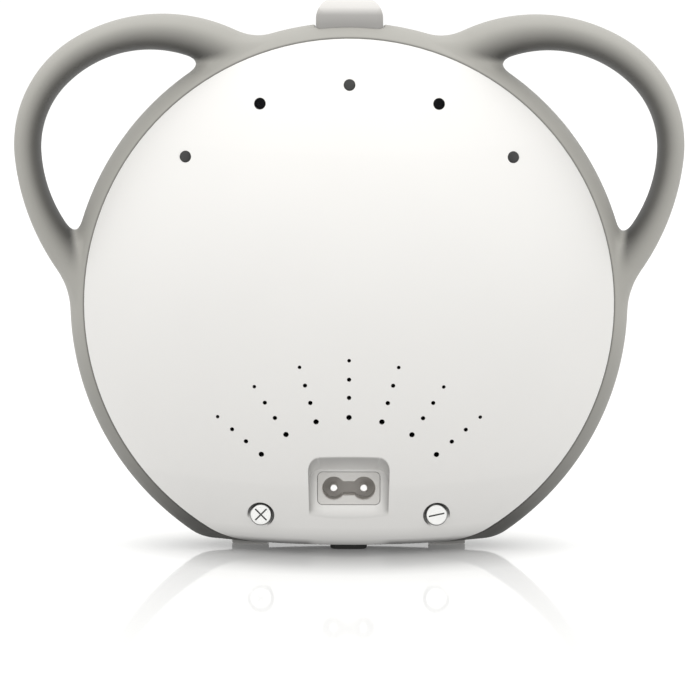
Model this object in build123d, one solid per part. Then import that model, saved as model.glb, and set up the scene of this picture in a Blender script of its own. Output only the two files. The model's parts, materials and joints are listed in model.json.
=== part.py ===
from build123d import *
from functools import lru_cache
from math import atan2, cos, hypot, radians, sin, sqrt
import os

# Nasal aspirator, main unit: a round mains-powered suction unit with two ear-shaped carrying loops.
# Millimetres. Origin on the floor under the middle of the body, +Z up, suction dial towards -Y,
# mains inlet towards +Y.

# ---- Driving dimensions -------------------------------------------------------------------------

PIN_PITCH = 8.6            # two-pole mains appliance inlet, pin centre to pin centre
RING_Z = 71.5              # height of the round body's axis
BASE_Z = 2.0               # underside of the body, above the floor
WALL = 2.4                 # moulded wall

CREST_R = 81.5             # radius of the band's crest about the body's axis
SHELL_R = 77.0             # radius at which the white shells meet the band
SEAM_Y = 10.5              # half the width of the band between the two shells
REAR_APEX = 50.0           # Y of the rear dome's top
FRONT_APEX = -40.5         # Y of the front dome's top
DIAL_FACE = -50.0          # Y of the suction dial's face
BASE_FILLET = 14.0

GASKET = 0.45              # width of the seam gaskets
GASKET_SET_IN = 0.45       # how far the gaskets sit below the surface
LIP = 1.4                  # thickness of the shells' locating lips
LIP_REACH = 3.0            # how far a lip reaches under the band
LIP_GAP = 0.15
LIP_ROOT = 1.8             # width of a lip's root on the shell

EAR_HALF = 8.5             # half the ear loops' depth along Y
EAR_EDGE = 3.5             # rounding of the ear loops' long edges
# Each outline is a chain of tangent arcs (radius, turn in degrees), in the plane of the band.
EAR_OUTER_START = (22.0, 72.2)
EAR_OUTER_HEADING = 39.9
EAR_OUTER_ARCS = ((50.3, 70.4), (36.2, 65.7), (70.5, 39.6))
EAR_INNER_START = (37.2, 66.5)
EAR_INNER_HEADING = 37.1
EAR_INNER_ARCS = ((34.4, 82.1), (25.8, 48.4), (40.8, 51.9))

SCREW_RING = 63.5          # radius on which the holes of the rear shell lie
HOLE_STEP = 23.6           # their angular step, from the top
WELL_R = 1.68
WELL_SCREW_Y = 17.6        # seat of the upper screws' heads
PLUG_FLOOR_Y = 24.0
PLUG_R = 1.62
LOWER_SCREW = (25.2, -59.4)   # X and height from the ring's axis of the lower screws
POCKET_R = 3.9
POCKET_FLOOR_Y = 22.2
DISC_R = 3.15
DISC_FACE_Y = 24.7

VENT_CENTRE = -61.9        # height from the ring's axis of the point the vent rows fan out from
VENT_STEP = 16.4           # degrees between rows
VENT_ROWS = 7
VENT_DOTS = ((49.0, 0.52), (43.6, 0.60), (38.4, 0.63), (32.7, 0.78))   # distance, hole radius

RECESS_FLOOR_Y = 28.5
RECESS_HALF = 11.3
RECESS_TOP = -45.9
RECESS_DRAFT = 0.03        # sideways opening per millimetre of depth
RECESS_TOP_DRAFT = 0.42
RECESS_BOTTOM = -68.0
RECESS_CORNER = 3.2
INLET_Z = -51.3            # height of the pins from the ring's axis
INLET_HALF_X = 8.85
INLET_HALF_Z = 4.65
INLET_CORNER = 1.4
INLET_EYE_R = 3.4
INLET_NECK = 2.1
INLET_DEPTH = 7.2
INLET_BACK_Y = 14.5
PIN_R = 1.18

CHASSIS_FRONT_Y = 10.0
CHASSIS_BACK_Y = 12.5
CHASSIS_R = 68.5
BOSS_R = 3.6
LOWER_BOSS_R = 5.3
SELF_TAP_R = 1.0           # shank of the upper screws
LOWER_SHANK_R = 1.5

FOOT_R = 5.375
FOOT_SET_IN = 1.0
REAR_FOOT = (0.0, 4.9)
FRONT_FOOT = (29.0, -5.0)

BUTTON_HALF_X = 9.75
BUTTON_HALF_Y = 6.0
BUTTON_TOP = 88.8          # from the ring's axis
BUTTON_CORNER = 6.4
BUTTON_CROWN = 5.0
BUTTON_GAP = 0.3
FLANGE_TOP = 75.0          # from the ring's axis
SWITCH_TOP = 64.0

DIAL_WELL_R = 23.4
DIAL_WELL_Y = -35.5        # floor of the dial's well
DIAL_R = 22.6
DIAL_CAP_R = 17.6
DIAL_START = -135.0        # pointer at rest, degrees clockwise from the top, seen from the front
DIAL_TURN = 270.0
DIAL_FLUTES = 24
SHAFT_R = 3.0
SHAFT_GAP = 0.04
SCALE_R = 34.0             # radius of the ring of level marks
SCALE_MARKS = 10

SPIGOT_Z = -50.0
SPIGOT_SEAT_Y = -23.0
SPIGOT_POCKET_R = 10.5
SPIGOT_TIP_Y = -44.0
SPIGOT_R = 4.0
SPIGOT_BORE_R = 1.6

LIGHT_Z = 44.0
LIGHT_PIPE_R = 1.6

MOTOR_Y = -7.0
MOTOR_Z = -27.0            # from the ring's axis
MOTOR_R = 15.0
MOTOR_X0 = -12.0
MOTOR_X1 = 28.0
MOTOR_SHAFT_R = 1.5
ECCENTRICITY = 0.8
BEARING_R = 4.5
YOKE_TRAVEL = 0.8
PUMP_X = -24.0
PUMP_HALF_X = 10.0
PUMP_HALF_Y = 13.0
PUMP_TOP_Z = 58.0          # parting face between the crankcase and the valve plate
BOLT_R = 0.9

TUBE_R = 3.5
TUBE_BORE = 2.2
FILTER_X = 30.0
FILTER_R = 10.0
TUBE_LEVEL = 106.0         # height of the tube run across the top of the pump

BIG = 400.0


def arc_radius(half_chord, rise):
    """Radius of the arc with this half chord and rise."""
    return (half_chord ** 2 + rise ** 2) / (2 * rise)


REAR_DOME_R = arc_radius(SHELL_R, REAR_APEX - SEAM_Y)
FRONT_DOME_R = arc_radius(SHELL_R, -SEAM_Y - FRONT_APEX)
BAND_SECTION_R = arc_radius(SEAM_Y, CREST_R - SHELL_R)
BAND_CENTRE_R = CREST_R - BAND_SECTION_R


# ---- Helpers ------------------------------------------------------------------------------------

def up(height):
    """Height above the floor of a place given from the ring's axis."""
    return RING_Z + height


def block(x0, x1, y0, y1, z0, z1):
    return Pos((x0 + x1) / 2, (y0 + y1) / 2, (z0 + z1) / 2) * Box(x1 - x0, y1 - y0, z1 - z0)


def rod_x(radius, x0, x1, y, z):
    return Pos((x0 + x1) / 2, y, z) * Rot(0, 90, 0) * Cylinder(radius, x1 - x0)


def rod_y(radius, y0, y1, x=0.0, z=RING_Z):
    return Pos(x, (y0 + y1) / 2, z) * Rot(90, 0, 0) * Cylinder(radius, y1 - y0)


def rod_z(radius, z0, z1, x, y):
    return Pos(x, y, (z0 + z1) / 2) * Cylinder(radius, z1 - z0)


def slab_y(y0, y1):
    return block(-BIG, BIG, y0, y1, -BIG, BIG)


def on_ring(radius, angle):
    """X and Z of a point on a circle about the body's axis, angle from the top towards +X."""
    return radius * sin(radians(angle)), up(radius * cos(radians(angle)))


def plate_y(sketch, y0, y1):
    """A sketch drawn in the XZ plane, seen from the front, made into a plate from y0 to y1."""
    return extrude(Plane((0, y0, 0), x_dir=(1, 0, 0), z_dir=(0, -1, 0)) * sketch, y0 - y1)


def group(solids):
    """Several separate solids as one compound, for identical pieces that share a node."""
    return Compound(children=[s for piece in solids for s in piece.solids()])


def arc_chain(start, heading, arcs):
    """Tangent arcs that all turn clockwise, and the point where they end."""
    edges = []
    x, y = start
    for radius, turn in arcs:
        cx = x + radius * sin(radians(heading))
        cy = y - radius * cos(radians(heading))
        points = []
        for part in (0.0, 0.5, 1.0):
            bearing = radians(heading - part * turn)
            points.append((cx - radius * sin(bearing), cy + radius * cos(bearing)))
        edges.append(ThreePointArc(*points))
        x, y = points[-1]
        heading -= turn
    return edges, (x, y)


# ---- The outer form -----------------------------------------------------------------------------

def crossing(centre_a, radius_a, centre_b, radius_b):
    """The crossing of two circles that lies furthest out."""
    dx = centre_b[0] - centre_a[0]
    dy = centre_b[1] - centre_a[1]
    span = hypot(dx, dy)
    along = (radius_a ** 2 - radius_b ** 2 + span ** 2) / (2 * span)
    aside = sqrt(radius_a ** 2 - along ** 2)
    mid = (centre_a[0] + along * dx / span, centre_a[1] + along * dy / span)
    ends = [(mid[0] + s * aside * dy / span, mid[1] - s * aside * dx / span) for s in (1, -1)]
    return max(ends)


def arc_about(centre, radius, start, end):
    """The arc from start to end about a known centre."""
    a = atan2(start[1] - centre[1], start[0] - centre[0])
    b = atan2(end[1] - centre[1], end[0] - centre[0])
    middle = (centre[0] + radius * cos((a + b) / 2), centre[1] + radius * sin((a + b) / 2))
    return ThreePointArc(start, middle, end)


@lru_cache
def body_form(inset):
    """The whole body's outer form, or the same form set in by a wall's thickness."""
    rear_centre = (0.0, REAR_APEX - REAR_DOME_R)
    front_centre = (0.0, FRONT_APEX + FRONT_DOME_R)
    band_centre = (BAND_CENTRE_R, 0.0)
    rear_r = REAR_DOME_R - inset
    front_r = FRONT_DOME_R - inset
    band_r = BAND_SECTION_R - inset
    rear_edge = crossing(rear_centre, rear_r, band_centre, band_r)
    front_edge = crossing(front_centre, front_r, band_centre, band_r)
    rear_top = (0.0, REAR_APEX - inset)
    front_top = (0.0, FRONT_APEX + inset)
    profile = make_face([
        arc_about(rear_centre, rear_r, rear_top, rear_edge),
        ThreePointArc(rear_edge, (BAND_CENTRE_R + band_r, 0.0), front_edge),
        arc_about(front_centre, front_r, front_edge, front_top),
        Line(front_top, rear_top),
    ])
    form = revolve(Pos(0, 0, RING_Z) * profile, Axis((0, 0, RING_Z), (0, 1, 0)), 360)
    base = BASE_Z + inset
    form -= block(-BIG, BIG, -BIG, BIG, -BIG, base)
    rim = form.edges().filter_by_position(Axis.Z, base - 0.01, base + 0.01)
    return fillet(rim, BASE_FILLET - inset)


OUTER = body_form(0.0)
INNER = body_form(WALL)
SKIN = OUTER - INNER


def seam_gasket(side):
    """Soft ring in the seam between the band and a shell; side is +1 at the rear, -1 in front."""
    near, far = sorted((side * SEAM_Y, side * (SEAM_Y + GASKET)))
    return (body_form(GASKET_SET_IN) - INNER) & slab_y(near, far)


def locating_lip(side):
    """Lip on a shell's edge that slides inside the band, with its root on the shell's wall."""
    root_y = side * (SEAM_Y + GASKET)
    near, far = sorted((side * (SEAM_Y - LIP_REACH), root_y))
    lip = (body_form(WALL + LIP_GAP) - body_form(WALL + LIP)) & slab_y(near, far)
    near, far = sorted((root_y, side * (SEAM_Y + LIP_ROOT)))
    return lip + ((body_form(WALL / 2) - body_form(WALL + LIP)) & slab_y(near, far))


# ---- Rear shell and what it carries -------------------------------------------------------------

def inlet_recess(margin):
    """Drafted pocket for the mains plug, open at the bottom where the dome curves back to it."""
    depth = 16.0
    sections = []
    for rise in (-margin, depth):
        half = RECESS_HALF + margin + RECESS_DRAFT * max(rise, 0.0)
        top = up(RECESS_TOP) + margin + RECESS_TOP_DRAFT * max(rise, 0.0)
        height = top - up(RECESS_BOTTOM)
        plane = Plane((0, RECESS_FLOOR_Y + rise, top - height / 2), x_dir=(1, 0, 0), z_dir=(0, -1, 0))
        sections.append(plane * RectangleRounded(2 * half, height, RECESS_CORNER + margin))
    return loft(sections)


def vent_places():
    """X, Z and radius of each ventilation hole: seven rows that fan out from a point low down."""
    places = []
    for row in range(VENT_ROWS):
        angle = radians((row - (VENT_ROWS - 1) / 2) * VENT_STEP)
        for distance, radius in VENT_DOTS:
            places.append((distance * sin(angle), up(VENT_CENTRE) + distance * cos(angle), radius))
    return places


def well_places():
    return [on_ring(SCREW_RING, s * HOLE_STEP) for s in (-1, 1)]


def plug_places():
    return [on_ring(SCREW_RING, s * HOLE_STEP) for s in (-2, 0, 2)]


def lower_screw_places():
    return [(s * LOWER_SCREW[0], up(LOWER_SCREW[1])) for s in (-1, 1)]


def inlet_window(gap):
    window = Rectangle(2 * (INLET_HALF_X + gap), 2 * (INLET_HALF_Z + gap))
    return Pos(0, up(INLET_Z)) * fillet(window.vertices(), INLET_CORNER + gap)


def rear_shell():
    shell = SKIN & slab_y(SEAM_Y + GASKET, BIG)
    shell += inlet_recess(WALL) & OUTER & slab_y(SEAM_Y + GASKET, BIG)
    for x, z in well_places():
        shell += rod_y(BOSS_R, CHASSIS_BACK_Y, BIG, x, z) & OUTER
    for x, z in lower_screw_places():
        shell += rod_y(LOWER_BOSS_R, CHASSIS_BACK_Y, BIG, x, z) & OUTER
    shell += locating_lip(1)
    shell -= inlet_recess(0.0)
    shell -= plate_y(inlet_window(0.15), RECESS_FLOOR_Y - 6.0, RECESS_FLOOR_Y + 1.0)
    for x, z in well_places():
        shell -= rod_y(WELL_R, WELL_SCREW_Y, BIG, x, z)
        shell -= rod_y(SELF_TAP_R + 0.15, 0.0, BIG, x, z)
    for x, z in plug_places():
        shell -= rod_y(WELL_R, PLUG_FLOOR_Y, BIG, x, z)
    for x, z in lower_screw_places():
        shell -= rod_y(POCKET_R, POCKET_FLOOR_Y, BIG, x, z)
        shell -= rod_y(LOWER_SHANK_R + 0.2, 0.0, BIG, x, z)
    for x, z, radius in vent_places():
        shell -= rod_y(radius, 20.0, BIG, x, z)
    return shell


def hole_plugs():
    """Soft plugs in the three blind holes."""
    plugs = []
    for x, z in plug_places():
        plugs.append(rod_y(PLUG_R, PLUG_FLOOR_Y, PLUG_FLOOR_Y + 1.0, x, z))
    return group(plugs)


def well_screws():
    screws = []
    for x, z in well_places():
        screw = rod_y(1.5, WELL_SCREW_Y, WELL_SCREW_Y + 1.6, x, z)
        screw += rod_y(SELF_TAP_R, 1.0, WELL_SCREW_Y, x, z)
        screw -= rod_y(0.6, WELL_SCREW_Y + 0.8, WELL_SCREW_Y + 2.0, x, z)
        screws.append(screw)
    return group(screws)


def disc_screw(x, z, slots):
    """Flat disc-headed screw; slots gives the screwdriver slots' angles."""
    head = rod_y(DISC_R, POCKET_FLOOR_Y, DISC_FACE_Y, x, z)
    rim = head.edges().filter_by_position(Axis.Y, DISC_FACE_Y - 0.01, DISC_FACE_Y + 0.01)
    head = chamfer(rim, 0.35)
    for angle in slots:
        slot = Pos(x, DISC_FACE_Y, z) * Rot(0, angle, 0) * Box(4.6, 1.4, 0.45)
        head -= slot
    return head + rod_y(LOWER_SHANK_R, -4.0, POCKET_FLOOR_Y, x, z)


def cross_screw():
    x, z = lower_screw_places()[1]
    return disc_screw(x, z, (45, -45))


def slot_screw():
    x, z = lower_screw_places()[0]
    return disc_screw(x, z, (12,))


# ---- Mains inlet --------------------------------------------------------------------------------

INLET_FACE_Y = RECESS_FLOOR_Y - 0.1


def figure_eight(eye_r, neck):
    eyes = [Pos(s * PIN_PITCH / 2, up(INLET_Z)) * Circle(eye_r) for s in (-1, 1)]
    return eyes[0] + eyes[1] + Pos(0, up(INLET_Z)) * Rectangle(PIN_PITCH, 2 * neck)


def inlet_housing():
    housing = plate_y(inlet_window(0.0), INLET_BACK_Y, INLET_FACE_Y)
    front = INLET_FACE_Y - 0.6
    housing -= plate_y(figure_eight(INLET_EYE_R, INLET_NECK), front - 1.0, INLET_FACE_Y + 1.0)
    housing -= plate_y(figure_eight(INLET_EYE_R + 0.2, INLET_NECK + 0.2), INLET_BACK_Y + 2.0, front)
    for s in (-1, 1):
        housing -= rod_y(PIN_R, INLET_BACK_Y - 1.0, INLET_FACE_Y, s * PIN_PITCH / 2, up(INLET_Z))
    return housing


def inlet_liner():
    """Dark insulating liner of the inlet, with the figure-eight socket in it."""
    front = INLET_FACE_Y - 0.6
    liner = plate_y(figure_eight(INLET_EYE_R + 0.2, INLET_NECK + 0.2), INLET_BACK_Y + 2.0, front)
    socket = figure_eight(INLET_EYE_R - 0.15, INLET_NECK - 0.15)
    liner -= plate_y(socket, INLET_FACE_Y - INLET_DEPTH, front + 1.0)
    for s in (-1, 1):
        liner -= rod_y(PIN_R, INLET_BACK_Y - 1.0, INLET_FACE_Y, s * PIN_PITCH / 2, up(INLET_Z))
    return liner


def inlet_pins():
    pins = []
    for s in (-1, 1):
        x = s * PIN_PITCH / 2
        pin = rod_y(PIN_R, INLET_BACK_Y - 1.5, INLET_FACE_Y - 0.9, x, up(INLET_Z))
        tip = pin.edges().sort_by(Axis.Y)[-1]
        pins.append(fillet(tip, 0.5))
    return group(pins)


def internal_wires():
    """Insulated wires from the inlet's pins up to the power board, and on to the motor."""
    wires = motor_wires()
    for s in (-1, 1):
        x = s * PIN_PITCH / 2
        route = FilletPolyline(
            (x, INLET_BACK_Y - 1.5, up(INLET_Z)),
            (x, INLET_BACK_Y - 8.5, up(INLET_Z)),
            (s * 40.0, INLET_BACK_Y - 8.5, up(INLET_Z + 4.0)),
            (s * 40.0, INLET_BACK_Y - 8.5, up(14.0)),
            (s * 35.2, 14.7, up(14.0)),
            radius=3.0,
        )
        wires.append(sweep(Plane(route @ 0, z_dir=route % 0) * Circle(0.9), route))
    return group(wires)


# ---- Band with the ear loops --------------------------------------------------------------------

def ear_loop():
    """One solid carrying loop on the +X side, its long edges rounded."""
    outer, outer_end = arc_chain(EAR_OUTER_START, EAR_OUTER_HEADING, EAR_OUTER_ARCS)
    inner, inner_end = arc_chain(EAR_INNER_START, EAR_INNER_HEADING, EAR_INNER_ARCS)
    outline = outer + [Line(outer_end, inner_end)] + inner + [Line(EAR_INNER_START, EAR_OUTER_START)]
    loop = plate_y(Pos(0, RING_Z) * make_face(outline), -EAR_HALF, EAR_HALF)
    long_edges = []
    for y in (-EAR_HALF, EAR_HALF):
        face_edges = loop.edges().filter_by_position(Axis.Y, y - 0.01, y + 0.01)
        long_edges += list(face_edges.filter_by(GeomType.CIRCLE))
    return fillet(long_edges, EAR_EDGE)


def foot_places():
    return [REAR_FOOT, FRONT_FOOT, (-FRONT_FOOT[0], FRONT_FOOT[1])]


def ear_frame():
    """Band round the body with both ear loops, moulded in one piece."""
    ear = ear_loop()
    frame = SKIN & slab_y(-SEAM_Y, SEAM_Y)
    frame += (ear + mirror(ear, Plane.YZ)) - INNER
    slot = block(-BUTTON_HALF_X - BUTTON_GAP, BUTTON_HALF_X + BUTTON_GAP,
                 -BUTTON_HALF_Y - BUTTON_GAP, BUTTON_HALF_Y + BUTTON_GAP, up(60), up(100))
    frame -= fillet(slot.edges().filter_by(Axis.Z), 2.0 + BUTTON_GAP)
    for x, y in foot_places():
        frame -= rod_z(FOOT_R + 0.1, 0.0, BASE_Z + FOOT_SET_IN, x, y)
    return frame


def rubber_feet():
    feet = []
    for x, y in foot_places():
        foot = rod_z(FOOT_R, 0.0, BASE_Z + FOOT_SET_IN, x, y)
        feet.append(fillet(foot.edges().sort_by(Axis.Z)[0], 0.8))
    return group(feet)


# ---- Power button on top ------------------------------------------------------------------------

def power_button():
    """Crowned cap that stands up through the band, with a flange that holds it in."""
    top = up(BUTTON_TOP)
    skirt = up(FLANGE_TOP) - 1.6
    cap = block(-BUTTON_HALF_X, BUTTON_HALF_X, -BUTTON_HALF_Y, BUTTON_HALF_Y, skirt, top)
    cap = fillet(cap.edges().filter_by(Axis.Z), 2.0)
    side = Rectangle(2 * BUTTON_HALF_X, 2 * (top - skirt))
    side = fillet(side.vertices(), BUTTON_CORNER)
    cap &= plate_y(Pos(0, skirt) * side, -BIG, BIG)
    end = Rectangle(2 * BUTTON_HALF_Y, 2 * (top - skirt))
    end = fillet(end.vertices(), BUTTON_CROWN)
    cap &= Pos(-BIG / 2, 0, skirt) * extrude(Plane.YZ * end, BIG)
    cap += block(-11.6, 11.6, -7.0, 7.0, skirt, up(FLANGE_TOP))
    hollow = block(-7.6, 7.6, -4.0, 4.0, skirt - 1.0, up(BUTTON_TOP) - 6.0)
    stem = rod_z(2.6, skirt, up(BUTTON_TOP) - 4.0, 0, 0)
    return cap - hollow + stem


def switch_plunger():
    top = up(FLANGE_TOP) - 1.6
    return rod_z(2.0, up(SWITCH_TOP) - 5.0, top, 0, 0)


def button_spring():
    """Coil spring between the switch and the button's stem."""
    wire = 0.4
    bottom = up(SWITCH_TOP) + wire
    height = up(FLANGE_TOP) - 1.6 - up(SWITCH_TOP) - 2 * wire
    coil = Helix(pitch=height / 4, height=height, radius=3.6, center=(0, 0, bottom))
    return sweep(Plane(coil @ 0, z_dir=coil % 0) * Circle(wire), coil, is_frenet=True)


def power_switch():
    switch = block(-8, 8, -5.5, 5.5, up(SWITCH_TOP) - 13.0, up(SWITCH_TOP))
    switch = fillet(switch.edges().filter_by(Axis.Z), 1.0)
    switch -= rod_z(2.3, up(SWITCH_TOP) - 9.0, up(SWITCH_TOP) + 1.0, 0, 0)
    for x in (-4.0, 0.0, 4.0):
        switch += block(x - 0.6, x + 0.6, 5.5, 9.0, up(SWITCH_TOP) - 10.0, up(SWITCH_TOP) - 9.5)
    return switch


# ---- Front shell, dial, hose spigot and status light -----------------------------------------------

def scale_marks(depth):
    """Dots that grow clockwise round the dial, let into the front dome."""
    dots = []
    surface = FRONT_APEX + FRONT_DOME_R - sqrt(FRONT_DOME_R ** 2 - SCALE_R ** 2)
    for i in range(SCALE_MARKS):
        x, z = on_ring(SCALE_R, DIAL_START + i * DIAL_TURN / (SCALE_MARKS - 1))
        dots.append(rod_y(0.7 + 0.13 * i, surface - 3.0, surface + depth, x, z))
    return dots


def front_shell():
    shell = SKIN & slab_y(-BIG, -SEAM_Y - GASKET)
    shell += rod_y(DIAL_WELL_R + WALL, -BIG, DIAL_WELL_Y + WALL) & OUTER
    shell += rod_y(SPIGOT_POCKET_R + WALL, -BIG, SPIGOT_SEAT_Y + WALL, 0, up(SPIGOT_Z)) & OUTER
    for x, z in well_places():
        shell += rod_y(BOSS_R, -BIG, CHASSIS_FRONT_Y, x, z) & OUTER
    for x, z in lower_screw_places():
        shell += rod_y(BOSS_R, -BIG, CHASSIS_FRONT_Y, x, z) & OUTER
    for s in (-1, 1):
        shell += rod_y(3.0, DIAL_WELL_Y + 0.5, -27.0, s * 15.0, RING_Z)
        shell += rod_y(1.8, -BIG, -25.0, s * 5.0, up(LIGHT_Z)) & OUTER
    shell += locating_lip(-1)
    shell -= rod_y(DIAL_WELL_R, -BIG, DIAL_WELL_Y)
    shell -= rod_y(4.2, DIAL_WELL_Y - 1.0, -30.0)
    shell -= rod_y(SPIGOT_POCKET_R, -BIG, SPIGOT_SEAT_Y, 0, up(SPIGOT_Z))
    shell -= rod_y(4.6, SPIGOT_SEAT_Y - 1.0, SPIGOT_SEAT_Y + 5.0, 0, up(SPIGOT_Z))
    shell -= rod_y(LIGHT_PIPE_R, -BIG, -26.0, 0, up(LIGHT_Z))
    for x, z in well_places():
        shell -= rod_y(SELF_TAP_R + 0.03, 0.5, CHASSIS_FRONT_Y + 1.0, x, z)
    for x, z in lower_screw_places():
        shell -= rod_y(LOWER_SHANK_R + 0.03, -5.0, CHASSIS_FRONT_Y + 1.0, x, z)
    for s in (-1, 1):
        shell -= rod_y(1.05, -32.0, -26.0, s * 15.0, RING_Z)
    for dot in scale_marks(1.0):
        shell -= dot
    return shell


def level_dots():
    return group([dot & OUTER for dot in scale_marks(1.0)])


def dial_bezel():
    """Slim trim ring round the dial's well."""
    ring = Pos(0, 0, RING_Z) * Rot(90, 0, 0) * Torus(DIAL_WELL_R + 0.9, 1.3)
    ring = Pos(0, -38.0, 0) * ring
    return (ring - OUTER) - rod_y(DIAL_WELL_R, -BIG, 0.0)


def dial_grip():
    """Soft fluted ring of the suction dial."""
    base = DIAL_WELL_Y - 0.9
    profile = make_face([
        Line((DIAL_CAP_R, base), (DIAL_R, base)),
        Line((DIAL_R, base), (DIAL_R, -42.0)),
        ThreePointArc((DIAL_R, -42.0), (DIAL_R - 0.9, -46.0), (DIAL_R - 3.6, -48.2)),
        Line((DIAL_R - 3.6, -48.2), (DIAL_CAP_R, -48.6)),
        Line((DIAL_CAP_R, -48.6), (DIAL_CAP_R, base)),
    ])
    ring = revolve(Pos(0, 0, RING_Z) * profile, Axis((0, 0, RING_Z), (0, 1, 0)), 360)
    for i in range(DIAL_FLUTES):
        x, z = on_ring(DIAL_R + 1.6, i * 360 / DIAL_FLUTES)
        ring -= rod_y(2.1, -60.0, base - 3.0, x, z)
    return ring


def pointer_rod(radius, y0, y1):
    x, z = on_ring(DIAL_CAP_R - 4.6, DIAL_START)
    return rod_y(radius, y0, y1, x, z)


def dial_cap():
    """Hard crowned cap of the dial, with the hub that takes the shaft."""
    base = DIAL_WELL_Y - 1.2
    rim_y = -48.2
    crown = DIAL_FACE
    profile = make_face([
        Line((SHAFT_R, -46.0), (0, -46.0)),
        Line((0, -46.0), (0, crown)),
        ThreePointArc((0, crown), (9.4, crown + 0.45), (DIAL_CAP_R - 0.6, rim_y)),
        Line((DIAL_CAP_R - 0.6, rim_y), (DIAL_CAP_R, rim_y + 0.8)),
        Line((DIAL_CAP_R, rim_y + 0.8), (DIAL_CAP_R, base)),
        Line((DIAL_CAP_R, base), (DIAL_CAP_R - 2.0, base)),
        Line((DIAL_CAP_R - 2.0, base), (DIAL_CAP_R - 2.0, -45.6)),
        Line((DIAL_CAP_R - 2.0, -45.6), (6.0, -45.6)),
        Line((6.0, -45.6), (6.0, base - 0.6)),
        Line((6.0, base - 0.6), (SHAFT_R, base - 0.6)),
        Line((SHAFT_R, base - 0.6), (SHAFT_R, -46.0)),
    ])
    cap = revolve(Pos(0, 0, RING_Z) * profile, Axis((0, 0, RING_Z), (0, 1, 0)), 360)
    return cap - pointer_rod(1.7, -60.0, -47.9)


def dial_pointer():
    return pointer_rod(1.7, -48.95, -47.9)


def dial_shaft():
    return rod_y(SHAFT_R, -46.0, -15.0)


def dial_bush():
    bush = rod_y(4.2, DIAL_WELL_Y, -31.2) + rod_y(6.0, DIAL_WELL_Y + WALL, -31.2)
    return bush - rod_y(SHAFT_R + SHAFT_GAP, -40.0, -20.0)


def bleed_valve_body():
    """Housing of the rotary valve that lets air in and so sets the suction."""
    body = rod_y(11.0, -27.0, -12.0)
    for s in (-1, 1):
        body += rod_y(3.2, -27.0, -24.0, s * 15.0, RING_Z)
    body += block(-15, 15, -27.0, -24.0, up(-3), up(3))
    body += rod_z(2.2, up(8), up(17.5), 0, -16.0)
    body -= rod_y(6.0 + SHAFT_GAP, -27.5, -14.0)
    body -= rod_z(1.2, up(5), up(18), 0, -16.0)
    for s in (-1, 1):
        body -= rod_y(1.25, -28.0, -23.0, s * 15.0, RING_Z)
    return body - rod_x(1.6, 5.0, 12.0, -20.0, RING_Z)


def bleed_valve_rotor():
    """Rotor with a groove that opens the bleed port as the dial turns."""
    rotor = rod_y(6.0, -26.0, -14.6) - rod_y(SHAFT_R, -30.0, -15.0)
    groove = rod_y(6.5, -20.8, -19.2) - rod_y(4.9, -21.5, -18.5)
    return rotor - (groove & block(0.5, 7, -22, -18, up(-7), up(7)))


def valve_screws():
    screws = []
    for s in (-1, 1):
        screw = rod_y(1.0, -31.5, -24.0, s * 15.0, RING_Z) + rod_y(2.2, -24.0, -22.6, s * 15.0, RING_Z)
        screws.append(screw)
    return group(screws)


def light_pipe():
    return (rod_y(LIGHT_PIPE_R - 0.02, -BIG, -29.5, 0, up(LIGHT_Z)) & OUTER)


def light_board():
    """Small board with the status light behind its light pipe."""
    board = block(-8, 8, -25.0, -23.6, up(LIGHT_Z - 5), up(LIGHT_Z + 5))
    return board + rod_y(1.5, -28.8, -25.0, 0, up(LIGHT_Z))


def hose_spigot():
    """Barbed spigot that the suction hose pushes on to."""
    z = up(SPIGOT_Z)
    profile = make_face(Polyline(
        (SPIGOT_BORE_R, SPIGOT_TIP_Y), (SPIGOT_R - 1.0, SPIGOT_TIP_Y), (SPIGOT_R, SPIGOT_TIP_Y + 3.0),
        (SPIGOT_R, SPIGOT_SEAT_Y - 2.4), (7.2, SPIGOT_SEAT_Y - 2.4), (7.2, SPIGOT_SEAT_Y - 0.7),
        (4.5, SPIGOT_SEAT_Y - 0.7), (4.5, -15.0), (TUBE_BORE, -15.0), (TUBE_BORE, -9.0),
        (SPIGOT_BORE_R, -9.0), close=True))
    return revolve(Pos(0, 0, z) * profile, Axis((0, 0, z), (0, 1, 0)), 360)


def spigot_seal():
    z = up(SPIGOT_Z)
    return rod_y(7.0, SPIGOT_SEAT_Y - 0.7, SPIGOT_SEAT_Y, 0, z) - rod_y(4.5, -30.0, -20.0, 0, z)


def spigot_nut():
    z = up(SPIGOT_Z)
    y0 = SPIGOT_SEAT_Y + WALL
    hexagon = Pos(0, z) * RegularPolygon(7.0, 6)
    return plate_y(hexagon, y0, y0 + 3.0) - rod_y(4.5, y0 - 1.0, y0 + 4.0, 0, z)


# ---- Chassis, boards ----------------------------------------------------------------------------

def chassis():
    """Plate clamped between the two shells' bosses, which carries the works."""
    plate = rod_y(CHASSIS_R, CHASSIS_FRONT_Y, CHASSIS_BACK_Y) & body_form(WALL + LIP + 0.4)
    plate -= block(-13, 13, 0, 20, up(-66), up(-42))
    for s in (-1, 1):
        plate -= block(min(s * 34, s * 52), max(s * 34, s * 52), 0, 20, up(-34), up(26))
    plate -= rod_y(4.6, 0, 20, PUMP_X, up(0.5))
    plate -= rod_y(4.0, 0, 20, 24.0, up(11.0))
    plate += block(-12, 12, -6.5, CHASSIS_FRONT_Y + 1, up(SWITCH_TOP) - 15.0, up(SWITCH_TOP) - 13.0)
    for x in (-31.0, 31.0):
        for h in (12.0, 44.0):
            plate += rod_y(2.4, CHASSIS_BACK_Y - 1, 15.5, x, up(h))
    for x, z in well_places():
        plate -= rod_y(SELF_TAP_R + 0.15, 0, 20, x, z)
    for x, z in lower_screw_places():
        plate -= rod_y(LOWER_SHANK_R + 0.2, 0, 20, x, z)
    return plate


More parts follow.
